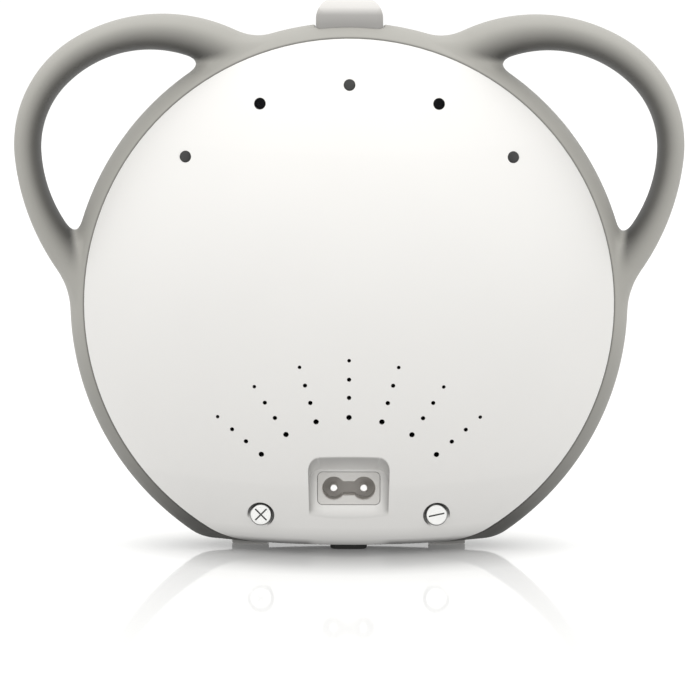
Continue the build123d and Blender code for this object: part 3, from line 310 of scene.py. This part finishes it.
def domed_copy(name, apex, centre):
    """A shell's own mesh with the dome's exact normals, so that it shades without facets."""
    source = nodes[name]
    mesh = source.data.copy()
    work = bmesh.new()
    work.from_mesh(mesh)
    pole = [v for v in work.verts if abs(v.co.y - apex * MM) < WELD]
    bmesh.ops.remove_doubles(work, verts=pole, dist=WELD)
    work.to_mesh(mesh)
    work.free()
    made = bpy.data.objects.new(name + "_skin", mesh)
    bpy.context.scene.collection.objects.link(made)
    spots = np.empty(len(mesh.vertices) * 3)
    mesh.vertices.foreach_get("co", spots)
    corner = np.empty(len(mesh.loops), np.int32)
    mesh.loops.foreach_get("vertex_index", corner)
    normals = np.empty(len(mesh.loops) * 3)
    mesh.corner_normals.foreach_get("vector", normals)
    normals = normals.reshape(-1, 3)
    reach = spots.reshape(-1, 3)[corner] / MM - np.array([0, centre, AXIS_Z / MM])
    size = np.linalg.norm(reach, axis=1, keepdims=True)
    radial = reach / size
    on_dome = np.abs(size[:, 0] - abs(apex - centre)) < DOME_TOLERANCE
    on_dome &= (radial * normals).sum(1) > DOME_LEAN
    normals[on_dome] = radial[on_dome]
    mesh.normals_split_custom_set(normals.tolist())
    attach(made, "root")
    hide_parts(name)
    return made


rear = domed_copy("rear_shell", REAR_APEX, REAR_APEX - REAR_R)
# The rear shell carries painted shade at its foot, in the screw wells and along the inlet's walls.
set_material(rear, moulded("rear_white_shell", SHELL_WHITE, (0.34, 0.42), mottle=0.006,
                           painted_light=rear_painted_shade))
domed_copy("front_shell", FRONT_APEX, FRONT_APEX + FRONT_R)


# ---- Band and ear loops as one flowing skin -----------------------------------------------------

WALL = 2.4
BASE_FILLET = 14.0         # rounding between the dome and the flat underside
EAR_DEPTH = 8.5            # half the loops' depth along Y
EAR_FULLNESS = 2.1         # exponent of the loops' oval section; 2 is an ellipse
EAR_BLEND = 4.6            # how far the loops' roots flow into the band
BLEND_FADE = (7.0, 10.2)   # the blend dies away between these distances from the middle plane
EDGE_SOFTNESS = 0.5
SLOT_SOFTNESS = 0.2
# Start, heading and arcs (radius, turn in degrees) of the loops' two lines.
OUTER_LINE = ((22.0, 72.2), 39.9, ((50.3, 70.4), (36.2, 65.7), (70.5, 39.6)))
INNER_LINE = ((37.2, 66.5), 37.1, ((34.4, 82.1), (25.8, 48.4), (40.8, 51.9)))
LOOP_LOW, LOOP_IN = -14, 12            # the loops reach no lower and no nearer the middle
LOOP_HALVES = (0.5, 8.0)               # least and most that half a loop's width can be
BUTTON_HEAD = (9.75, 6.0)              # half its width and half its depth
BUTTON_GAP = 0.15
SLOT_CORNER = 2.3
SLOT_LOW = 60
FOOT_PLACES = ((0.0, 4.9), (29.0, -5.0), (-29.0, -5.0))
FOOT_HALF = 5.375
FOOT_SQUARENESS = 5.0                  # exponent of the feet's plan; 2 is a circle
FOOT_TOP = 1.0                         # how far the feet's seats go up into the underside
FOOT_GAP = 0.1
FAR = 20.0
ON_LOOP = 2.5                          # how far past the band the loops' own shading is full
INNER_SHADE = (-1.05, 0.6, 0.87)      # from the inner to the outer side of a loop, and how dark
LOW_SHADE = ((-63, 0.18), (-55, 0.37), (-44, 0.6), (-26, 0.78), (-4, 1.0))      # height, tint
SEAM_SHADE = ((0.0, 0.3), (0.1, 0.5), (0.3, 1.0))                             # from the edge, tint


def union(a, b, softness):
    """Smooth union of two distance fields."""
    h = np.maximum(softness - np.abs(a - b), 0)
    return np.minimum(a, b) - h * h / np.maximum(4 * softness, 1e-6)


def overlap(a, b, softness):
    """Smooth intersection of two distance fields."""
    return -union(-a, -b, softness)


def nearer(best, distance, usable):
    return np.where(usable & (np.abs(distance) < np.abs(best)), distance, best)


def in_sector(dx, dy, middle, half):
    swing = np.abs((np.arctan2(dy, dx) - middle + math.pi) % (2 * math.pi) - math.pi)
    return swing <= half


class Outline:
    """A line of tangent arcs that all bend to the right, running on straight past both ends."""

    def __init__(self, start, heading, arcs):
        self.arcs = []
        self.ends = [(start, math.radians(heading), -1)]
        x, y = start
        for radius, turn in arcs:
            a = math.radians(heading)
            centre = (x + radius * math.sin(a), y - radius * math.cos(a))
            self.arcs.append((centre, radius, math.radians(heading + 90 - turn / 2),
                              math.radians(turn / 2)))
            heading -= turn
            a = math.radians(heading)
            x, y = centre[0] - radius * math.sin(a), centre[1] + radius * math.cos(a)
        self.ends.append(((x, y), math.radians(heading), 1))

    def right_of(self, x, y):
        """Signed distance, positive on the line's right."""
        best = np.full(x.shape, -2 * FAR)
        for (cx, cy), radius, middle, half in self.arcs:
            best = nearer(best, radius - np.hypot(x - cx, y - cy),
                          in_sector(x - cx, y - cy, middle, half))
        for (ex, ey), heading, way in self.ends:
            along = way * ((x - ex) * math.cos(heading) + (y - ey) * math.sin(heading))
            best = nearer(best, (x - ex) * math.sin(heading) - (y - ey) * math.cos(heading),
                          along >= 0)
        return best


OUTER, INNER = Outline(*OUTER_LINE), Outline(*INNER_LINE)
BAND_R = arc_radius(SEAM_Y, CREST_R - SHELL_R)
REAR_SPAN = math.asin(SHELL_R / REAR_R)
FRONT_SPAN = math.asin(SHELL_R / FRONT_R)
# Centre (distance from the axis, y), radius, bearing of the arc's middle and half its span.
PROFILE = (
    ((CREST_R - BAND_R, 0.0), BAND_R, 0.0, math.asin(SEAM_Y / BAND_R)),
    ((0.0, REAR_APEX - REAR_R), REAR_R, (math.pi - REAR_SPAN) / 2, REAR_SPAN / 2),
    ((0.0, FRONT_APEX + FRONT_R), FRONT_R, (FRONT_SPAN - math.pi) / 2, FRONT_SPAN / 2),
)


def profile_distance(r, y):
    """Signed distance to the domed body's profile, and its slope along r."""
    body = -np.maximum(np.hypot(r - SHELL_R, np.abs(y) - SEAM_Y), 1e-6)
    slope = (r - SHELL_R) / body
    for (cr, cy), radius, middle, half in PROFILE:
        span = np.maximum(np.hypot(r - cr, y - cy), 1e-6)
        chosen = in_sector(r - cr, y - cy, middle, half) & (np.abs(span - radius) < np.abs(body))
        body = np.where(chosen, span - radius, body)
        slope = np.where(chosen, (r - cr) / span, slope)
    return body, slope


def base_rim(steps=400):
    """The line, x and y, along which the centre of the underside's rounding runs."""
    base = BASE_H + BASE_FILLET
    y = np.linspace(FRONT_APEX, REAR_APEX, steps)
    low, high = np.full(steps, -base), np.full(steps, CREST_R)
    y = y[profile_distance(low, y)[0] < -BASE_FILLET]
    low, high = low[:len(y)], high[:len(y)]
    for _ in range(30):
        middle = (low + high) / 2
        deep = profile_distance(middle, y)[0] < -BASE_FILLET
        low, high = np.where(deep, middle, low), np.where(deep, high, middle)
    x = np.sqrt(np.maximum(low ** 2 - base ** 2, 0))
    return list(zip(x, y))


RIM = base_rim()


def rim_distance(x, y):
    """Distance in plan to the rim line, nothing inside it."""
    best = np.full(x.shape, 1e9)
    for (ax, ay), (bx, by) in zip(RIM[:-1], RIM[1:]):
        ex, ey = bx - ax, by - ay
        t = np.clip(((x - ax) * ex + (y - ay) * ey) / max(ex * ex + ey * ey, 1e-9), 0, 1)
        best = np.minimum(best, np.hypot(x - ax - t * ex, y - ay - t * ey))
    deep = profile_distance(np.hypot(x, BASE_H + BASE_FILLET), y)[0] < -BASE_FILLET
    return np.where(deep, 0, best)


def body_distance(x, y, h):
    """The domed body with its flat underside and that edge's rounding; negative inside."""
    r = np.maximum(np.hypot(x, h), 1e-6)
    body, slope = profile_distance(r, y)
    set_in = body + BASE_FILLET
    base = BASE_H + BASE_FILLET
    low = (h - set_in * slope * h / r < base) & (h < base)
    rounded = set_in.copy()
    rounded[low] = np.hypot(rim_distance(np.abs(x[low]), y[low]), base - h[low])
    return rounded - BASE_FILLET


def ear_distance(x, y, h):
    """Both loops: an oval section stretched between the outer and the inner line."""
    x = np.abs(x)
    from_outer, from_inner = OUTER.right_of(x, h), -INNER.right_of(x, h)
    half = (from_outer + from_inner) / 2
    usable = (half > LOOP_HALVES[0]) & (from_outer > -FAR) & (from_inner > -FAR)
    usable &= (h > LOOP_LOW) & (x > LOOP_IN)
    half = np.clip(half, *LOOP_HALVES)
    across = np.abs(from_inner - from_outer) / 2 / half
    oval = across ** EAR_FULLNESS + (np.abs(y) / EAR_DEPTH) ** EAR_FULLNESS
    return np.where(usable, (oval ** (1 / EAR_FULLNESS) - 1) * half, FAR)


def band_painted_shade(x, y, h):
    """The skin's painted shade: darker inside the loops, towards the floor and along the seams, where
    shade falls.
    """
    from_outer, from_inner = OUTER.right_of(np.abs(x), h), -INNER.right_of(np.abs(x), h)
    side = (from_inner - from_outer) / np.maximum(np.abs(from_outer + from_inner), 1.0)
    inner = np.clip((INNER_SHADE[1] - side) / (INNER_SHADE[1] - INNER_SHADE[0]), 0, 1)
    inner = inner * inner * (3 - 2 * inner) * INNER_SHADE[2]
    on_loop = np.clip((body_distance(x, y, h) - ear_distance(x, y, h)) / ON_LOOP, 0, 1)
    low = np.interp(h, *zip(*LOW_SHADE))
    seam = np.interp(SEAM_Y - np.abs(y), *zip(*SEAM_SHADE))
    return (1 - inner * on_loop) * low * np.where(on_loop > 0, 1, seam)


def slot_distance(x, y):
    """Distance in plan to the button's rounded slot, negative inside it."""
    qx = np.abs(x) - BUTTON_HEAD[0] - BUTTON_GAP + SLOT_CORNER
    qy = np.abs(y) - BUTTON_HEAD[1] - BUTTON_GAP + SLOT_CORNER
    outside = np.hypot(np.maximum(qx, 0), np.maximum(qy, 0))
    return outside + np.minimum(np.maximum(qx, qy), 0) - SLOT_CORNER


def foot_reach(x, y):
    """Size of the squarish plan that passes through a point."""
    return (np.abs(x) ** FOOT_SQUARENESS + np.abs(y) ** FOOT_SQUARENESS) ** (1 / FOOT_SQUARENESS)


def frame_distance(x, y, h):
    """The hollow band with its loops, the button's slot and the feet's seats; negative inside."""
    body = body_distance(x, y, h)
    fade = np.clip((np.abs(y) - BLEND_FADE[0]) / (BLEND_FADE[1] - BLEND_FADE[0]), 0, 1)
    skin = union(body, ear_distance(x, y, h), EAR_BLEND * (1 - fade * fade * (3 - 2 * fade)))
    skin = overlap(skin, np.abs(y) - SEAM_Y, EDGE_SOFTNESS)
    solid = np.maximum(skin, -(body + WALL))
    solid = overlap(solid, -np.maximum(slot_distance(x, y), SLOT_LOW - h), SLOT_SOFTNESS)
    for fx, fy in FOOT_PLACES:
        hole = foot_reach(x - fx, y - fy) - FOOT_HALF - FOOT_GAP
        solid = np.maximum(solid, -np.maximum(hole, h - BASE_H - FOOT_TOP))
    return solid


LEAST_SLOPE = 0.2          # squared, so that a step stays short where the field is flat
LONGEST_STEP = 0.4


def to_surface(points, field, rounds=4, step=0.02):
    """Moves points on to a field's zero level along its slope."""
    for _ in range(rounds):
        value = field(*points.T)
        slope = np.stack([
            (field(*(points + d).T) - field(*(points - d).T)) / (2 * step)
            for d in np.eye(3) * step], 1)
        size = np.maximum((slope ** 2).sum(1), LEAST_SLOPE)
        points = points - np.clip(value / size, -LONGEST_STEP, LONGEST_STEP)[:, None] * slope
    return points


# Surface nets: one point in each grid cell that the surface cuts, one quad round each grid edge
# that it crosses. The grid's first axis closes on itself.

CORNERS = [(i, j, k) for i in (0, 1) for j in (0, 1) for k in (0, 1)]
EDGES = [(a, b) for a in range(8) for b in range(a + 1, 8)
         if sum(p != q for p, q in zip(CORNERS[a], CORNERS[b])) == 1]


def cut_cells(inside):
    """The cells that the surface cuts, and a grid of their numbers with -1 elsewhere."""
    shape = (inside.shape[0], inside.shape[1] - 1, inside.shape[2] - 1)
    count = np.zeros(shape, np.int8)
    for i, j, k in CORNERS:
        count += np.roll(inside, -i, 0)[:, j:j + shape[1], k:k + shape[2]]
    cells = np.argwhere((count > 0) & (count < len(CORNERS)))
    number = np.full(shape, -1)
    number[tuple(cells.T)] = np.arange(len(cells))
    return cells, number


def cell_points(values, places, cells):
    """The mean of the places where the surface crosses each cell's edges."""
    at = [((cells[:, 0] + i) % values.shape[0], cells[:, 1] + j, cells[:, 2] + k)
          for i, j, k in CORNERS]
    total, crossings = np.zeros((len(cells), 3)), np.zeros((len(cells), 1))
    for a, b in EDGES:
        start, end = values[at[a]], values[at[b]]
        crossed = ((start < 0) != (end < 0))[:, None]
        share = (start / np.where(start == end, 1, start - end))[:, None]
        total += np.where(crossed, places[at[a]] + share * (places[at[b]] - places[at[a]]), 0)
        crossings += crossed
    return total / crossings


def cell_quads(inside, number):
    """Quads that join the four cells round each crossed grid edge, facing outwards."""
    quads = []
    for axis in range(3):
        changed = inside != np.roll(inside, -1, axis)
        if axis:
            changed[(slice(None),) * axis + (-1,)] = False
        i, j, k = np.nonzero(changed)
        others = [a for a in range(3) if a != axis]
        ring = []
        for steps in ((0, 0), (1, 0), (1, 1), (0, 1)):
            cell = [i.copy(), j.copy(), k.copy()]
            for other, step in zip(others, steps):
                cell[other] -= step
            cell[0] %= inside.shape[0]
            ring.append(number[tuple(cell)])
        quad = np.stack(ring, 1)
        outward = inside[i, j, k] if axis != 1 else ~inside[i, j, k]
        quads.append(np.where(outward[:, None], quad[:, ::-1], quad))
    return np.concatenate(quads)


def mesh_piece(name, points, faces):
    mesh = bpy.data.meshes.new(name)
    mesh.from_pydata(points, [], faces)
    mesh.shade_smooth()
    made = bpy.data.objects.new(name, mesh)
    bpy.context.scene.collection.objects.link(made)
    return made


FINE_SPAN = 9.0            # degrees each side of the top with a finer grid, for the button's slot
FINE_TURN, COARSE_TURN = 0.2, 0.5
INNERMOST, OUTERMOST, RADIUS_STEP = 62.0, 117.0, 0.7
DEPTH_MARGIN, DEPTH_STEPS = 0.75, 46



def band_grid():
    """Grid points round the body's axis: by turn, by distance from the axis and along Y."""
    turns = np.radians(np.concatenate([
        np.arange(-FINE_SPAN, FINE_SPAN, FINE_TURN),
        np.arange(FINE_SPAN, 360 - FINE_SPAN, COARSE_TURN)]))
    radii = np.arange(INNERMOST, OUTERMOST, RADIUS_STEP)
    depths = np.linspace(-SEAM_Y - DEPTH_MARGIN, SEAM_Y + DEPTH_MARGIN, DEPTH_STEPS)
    turn, radius, depth = np.meshgrid(turns, radii, depths, indexing="ij")
    return np.stack([radius * np.sin(turn), depth, radius * np.cos(turn)], -1)


def band_and_ears():
    grid = band_grid()
    values = frame_distance(grid[..., 0], grid[..., 1], grid[..., 2])
    cells, number = cut_cells(values < 0)
    faces = cell_quads(values < 0, number)
    points = to_surface(cell_points(values, grid, cells), frame_distance)
    # Painted shade, stored on the skin's points.
    painted_light = band_painted_shade(*points.T)
    points = points * MM + np.array([0, 0, AXIS_Z])
    made = mesh_piece("band_and_ears", points.tolist(), faces.tolist())
    made.data.attributes.new("painted_light", "FLOAT", "POINT").data.foreach_set("value", painted_light)
    return made


band = band_and_ears()
set_material(band, MATERIALS["warm_grey_band"])
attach(band, "root")
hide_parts("ear_frame")


# ---- Feet ---------------------------------------------------------------------------------------

FOOT_EDGE = 0.5            # rounding of the feet's lower edge
FOOT_EDGE_STEPS = 6
FOOT_TURNS = 96


def foot_rings():
    """Half width and height of each ring of a foot, from its top's middle to its sole's."""
    sole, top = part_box("rubber_feet")[0].z / MM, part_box("rubber_feet")[1].z / MM
    rings = [(0.0, top), (FOOT_HALF / 2, top), (FOOT_HALF, top)]
    for step in range(FOOT_EDGE_STEPS + 1):
        a = math.pi / 2 * step / FOOT_EDGE_STEPS
        rings.append((FOOT_HALF - FOOT_EDGE * (1 - math.cos(a)),
                      sole + FOOT_EDGE * (1 - math.sin(a))))
    return rings + [(FOOT_HALF / 2, sole), (0.0, sole)]


def foot_pads():
    """Three rubber pads with squarish plans, in one mesh."""
    top, *rings, sole = foot_rings()
    points, faces = [], []
    for fx, fy in FOOT_PLACES:
        first = len(points)
        for half, z in rings:
            for t in range(FOOT_TURNS):
                a = 2 * math.pi * t / FOOT_TURNS
                reach = half / foot_reach(math.cos(a), math.sin(a))
                points.append((fx + reach * math.cos(a), fy + reach * math.sin(a), z))
        last = len(points) - FOOT_TURNS
        points += [(fx, fy, top[1]), (fx, fy, sole[1])]
        for t in range(FOOT_TURNS):
            n = (t + 1) % FOOT_TURNS
            faces.append((len(points) - 2, first + t, first + n))
            faces.append((len(points) - 1, last + n, last + t))
            for a in range(first, last, FOOT_TURNS):
                faces.append((a + t, a + FOOT_TURNS + t, a + FOOT_TURNS + n, a + n))
    return mesh_piece("foot_pads", [tuple(c * MM for c in p) for p in points], faces)


pads = foot_pads()
# Painted light: the front feet are painted pale grey; the middle foot is dimmed to the rubber's own
# black.
set_material(pads, moulded("foot_pads_rubber", (0.30, 0.295, 0.285), (0.6, 0.75), depth=0.01 * MM,
                           painted_light=along("X", *FEET_PAINTED_LIGHT)))
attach(pads, "root")
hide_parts("rubber_feet")


# ---- Floor, lights and camera -------------------------------------------------------------------

def disc(name, radius, height, turns=96, rings=12):
    """A flat round floor, meshed in rings."""
    points = [(0.0, 0.0, height)]
    faces = []
    for ring in range(1, rings + 1):
        r = radius * (ring / rings) ** 2
        for t in range(turns):
            a = 2 * math.pi * t / turns
            points.append((r * math.cos(a), r * math.sin(a), height))
    for t in range(turns):
        faces.append((0, 1 + t, 1 + (t + 1) % turns))
    for ring in range(rings - 1):
        a, b = 1 + ring * turns, 1 + (ring + 1) * turns
        for t in range(turns):
            n = (t + 1) % turns
            faces.append((a + t, b + t, b + n, a + n))
    mesh = bpy.data.meshes.new(name)
    mesh.from_pydata(points, [], faces)
    made = bpy.data.objects.new(name, mesh)
    bpy.context.scene.collection.objects.link(made)
    return made


FLOOR_RADIUS = 6.0
# A painted shadow on the floor under the body.
UNDER_HALVES = (0.060, 0.056)          # a soft darker oval under the body, along X and Y
UNDER_SHADOW = ((0.0, 0.48), (0.25, 0.48), (0.56, 0.62), (0.9, 0.86), (1.1, 1.0))


def floor_white_painted_shadow():
    g = Graph("floor_white_painted_shadow")
    tint = g.between(g.noise(0.4, 2.0), (0.93, 0.93, 0.93), (0.95, 0.95, 0.95))
    # Painted shadow: the floor darkened in a soft oval under the body.
    squeeze = (1 / UNDER_HALVES[0], 1 / UNDER_HALVES[1], 0)
    under = g.node("ShaderNodeMapping", {"Vector": g.place, "Scale": squeeze}).outputs[0]
    reach = g.node("ShaderNodeVectorMath", {"Vector": under}, operation="LENGTH").outputs["Value"]
    tint = g.dim(tint, g.steps(reach, UNDER_SHADOW))
    polish = g.spread(g.noise(0.05, 3.0), 0.045, 0.06)
    return g.finish(tint, polish, Specular_IOR_Level=0.07,
                    Emission_Color=(1, 1, 1, 1), Emission_Strength=0.09)


floor = disc("floor", FLOOR_RADIUS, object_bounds()[0].z)
set_material(floor, floor_white_painted_shadow())
floor.visible_diffuse = False

SKY = ((0.0, 0.66), (0.46, 0.76), (0.49, 1.06), (0.75, 1.15), (1.0, 1.3))      # straight down to up
SKY_BLUE = 0.99                        # the sky's blue beside its red and green


def studio_sky():
    """A soft white room, paler from below the horizon upwards."""
    world = bpy.data.worlds.new("studio")
    world.use_nodes = True
    tree = world.node_tree
    direction = tree.nodes.new("ShaderNodeTexCoord").outputs["Generated"]
    split = tree.nodes.new("ShaderNodeSeparateXYZ")
    tree.links.new(direction, split.inputs[0])
    height = tree.nodes.new("ShaderNodeMapRange")
    height.inputs["From Min"].default_value = -1.0
    tree.links.new(split.outputs["Z"], height.inputs["Value"])
    ramp = tree.nodes.new("ShaderNodeValToRGB")
    tree.links.new(height.outputs[0], ramp.inputs[0])
    for i, (position, level) in enumerate(SKY):
        stop = ramp.color_ramp.elements[i] if i < 2 else ramp.color_ramp.elements.new(position)
        stop.position = position
        stop.color = (level, level, level * SKY_BLUE, 1)
    background = tree.nodes["Background"]
    tree.links.new(ramp.outputs[0], background.inputs["Color"])
    background.inputs["Strength"].default_value = 1.0
    return world


bpy.context.scene.world = studio_sky()


def area_light(name, place, target, size, power):
    data = bpy.data.lights.new(name, "AREA")
    data.shape = "RECTANGLE"
    data.size, data.size_y = size
    data.energy = power
    lamp = bpy.data.objects.new(name, data)
    lamp.location = place
    lamp.rotation_euler = (Vector(target) - Vector(place)).to_track_quat("-Z", "Y").to_euler()
    bpy.context.scene.collection.objects.link(lamp)


area_light("overhead", (0.0, 0.1, 1.2), (0, 0, 0.07), (1.0, 0.8), 1.2)

CAMERA_PLACE = Vector((0.0014, 0.986, 0.1416))
CAMERA_YAW = -0.10
CAMERA_PITCH = 4.88
CAMERA_ROLL = -0.11
LENS_MM = 173.7
SENSOR_MM = 36.0

camera = bpy.data.objects.new("camera", bpy.data.cameras.new("camera"))
bpy.context.scene.collection.objects.link(camera)
camera.data.lens = LENS_MM
camera.data.sensor_width = SENSOR_MM
right, up, ahead = Vector((-1, 0, 0)), Vector((0, 0, 1)), Vector((0, -1, 0))
turn = Matrix.Rotation(math.radians(CAMERA_YAW), 3, "Z")
right, ahead = turn @ right, turn @ ahead
turn = Matrix.Rotation(math.radians(-CAMERA_PITCH), 3, right)
up, ahead = turn @ up, turn @ ahead
turn = Matrix.Rotation(math.radians(CAMERA_ROLL), 3, ahead)
right, up = turn @ right, turn @ up
axes = Matrix((right, up, -ahead)).transposed()
camera.matrix_world = Matrix.Translation(CAMERA_PLACE) @ axes.to_4x4()
bpy.context.scene.camera = camera
bpy.context.scene.view_settings.view_transform = "Standard"
